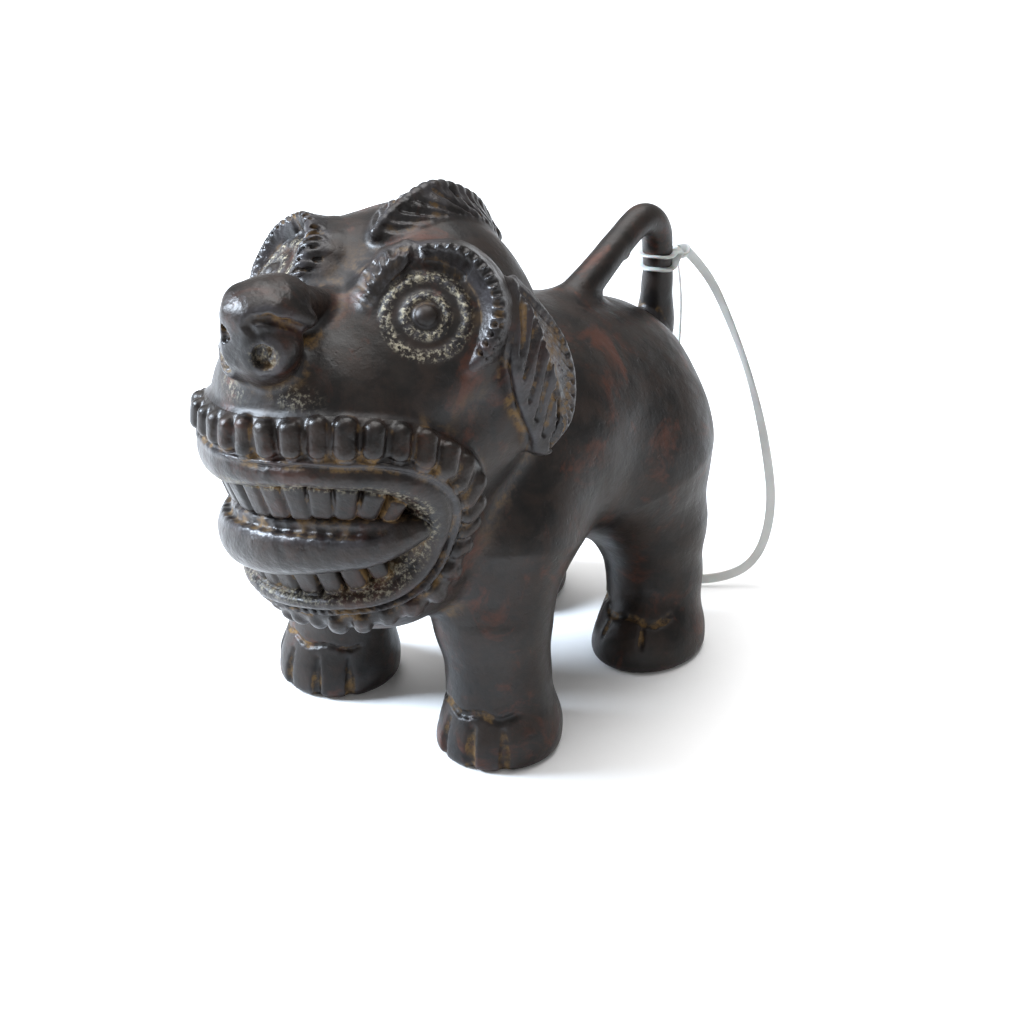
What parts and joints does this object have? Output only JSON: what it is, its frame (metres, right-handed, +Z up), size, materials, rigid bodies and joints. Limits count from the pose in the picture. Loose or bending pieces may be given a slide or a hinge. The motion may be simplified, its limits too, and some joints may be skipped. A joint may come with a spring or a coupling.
{
  "type": "foo dog statue",
  "caption": "Small dark bronze guardian lion standing on four legs, with a wide open fringed mouth, a tongue, staring eyes, a looped tail and a tag string.",
  "frame": {"origin": "bottom centre of the bronze's box, on the ground between the four feet (measured without the tag string)", "axes": "+Z up; the dog faces -Y, so +Y runs from its nose to its tail; +X is the dog's left side"},
  "size_m": [0.041, 0.0824, 0.0654],
  "materials": {
    "bronze_skin": "dark brown patinated bronze, satin, rubbed on the high places",
    "bronze_relief": "the same bronze on the applied pieces, with pale crust in the hollows",
    "bronze_teeth": "the same bronze with pale brown dirt between the teeth",
    "bronze_eye": "the same bronze, with whitish crust round the eyes",
    "tag_tape": "milky translucent woven tape"
  },
  "bodies": {
    "root": {"trunk": "bronze_skin", "head": "bronze_skin", "front_left_leg": "bronze_skin", "front_right_leg": "bronze_skin", "hind_left_leg": "bronze_skin", "hind_right_leg": "bronze_skin", "front_left_paw": "bronze_skin", "front_right_paw": "bronze_skin", "hind_left_paw": "bronze_skin", "hind_right_paw": "bronze_skin", "tail": "bronze_skin", "nose": "bronze_relief", "crest": "bronze_relief", "left_ear_lock": "bronze_relief", "right_ear_lock": "bronze_relief", "left_brow": "bronze_relief", "right_brow": "bronze_relief", "lip_band": "bronze_relief", "mouth_fringe": "bronze_relief", "tongue": "bronze_relief", "left_eyeball": "bronze_eye", "right_eyeball": "bronze_eye", "left_eye_rim": "bronze_eye", "right_eye_rim": "bronze_eye", "upper_teeth": "bronze_teeth", "lower_teeth": "bronze_teeth", "tag_string_hitch": "tag_tape", "tag_string": "tag_tape"}
  },
  "joints": []
}
